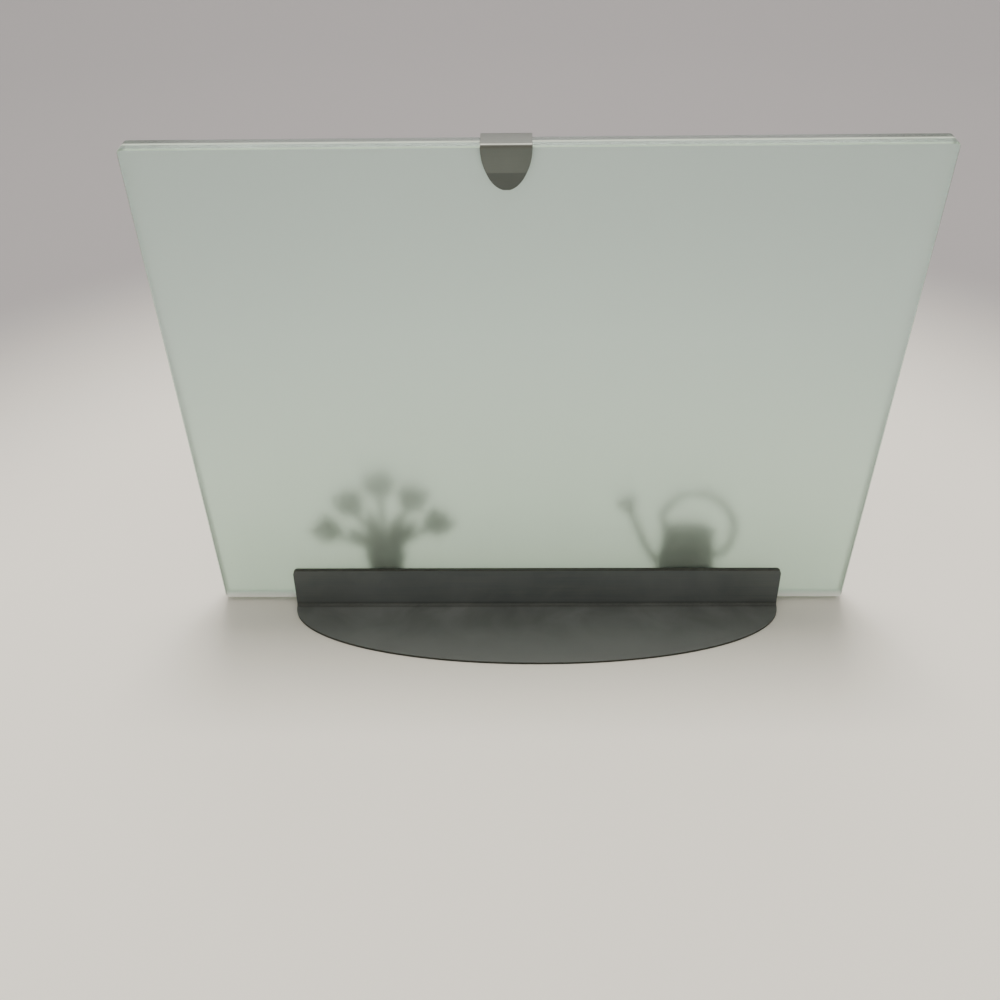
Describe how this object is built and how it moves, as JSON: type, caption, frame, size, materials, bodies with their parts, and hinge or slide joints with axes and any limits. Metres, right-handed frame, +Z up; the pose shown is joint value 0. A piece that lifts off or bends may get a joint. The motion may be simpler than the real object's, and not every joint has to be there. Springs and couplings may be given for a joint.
{
  "type": "photo frame",
  "caption": "Free-standing photo frame: two glass panes leaning in a low bent-steel stand, a spring clip on their top edge and two cast garden ornaments on the front ledge.",
  "frame": {"origin": "on the table, under the middle of the frame's overall box", "axes": "+Z up, +X along the panes' long edges, -Y towards the viewer of the picture; the steel foot and the lean are on +Y"},
  "size_m": [0.2032, 0.0474, 0.1541],
  "materials": {
    "stand_steel": "satin stainless sheet",
    "spring_steel": "satin spring steel",
    "frosted_glass": "etched on one face, pale green edges",
    "clear_glass": "polished float glass, pale green edges",
    "pewter": "satin cast pewter"
  },
  "bodies": {
    "stand": {"rear_stand": "stand_steel", "front_channel": "stand_steel", "tulip_pot": "pewter", "tulip_stems": "pewter", "watering_can": "pewter", "can_spout": "pewter", "can_handle": "pewter"},
    "rear_glass": {"rear_pane": "frosted_glass"},
    "front_glass": {"front_pane": "clear_glass"},
    "clip": {"top_clip": "spring_steel"}
  },
  "joints": [
    {"name": "rear_pane_lift", "type": "slide", "parent": "stand", "child": "rear_glass", "axis": [0, 0.1045, 0.9945], "range_m": [0, 0.03]},
    {"name": "front_pane_lift", "type": "slide", "parent": "stand", "child": "front_glass", "axis": [0, 0.1045, 0.9945], "range_m": [0, 0.03]},
    {"name": "clip_pull", "type": "slide", "parent": "rear_glass", "child": "clip", "axis": [0, 0.1045, 0.9945], "range_m": [0, 0.016]}
  ],
  "couplings": [
    {"joint": "front_pane_lift", "follows": "rear_pane_lift", "ratio": 1}
  ]
}
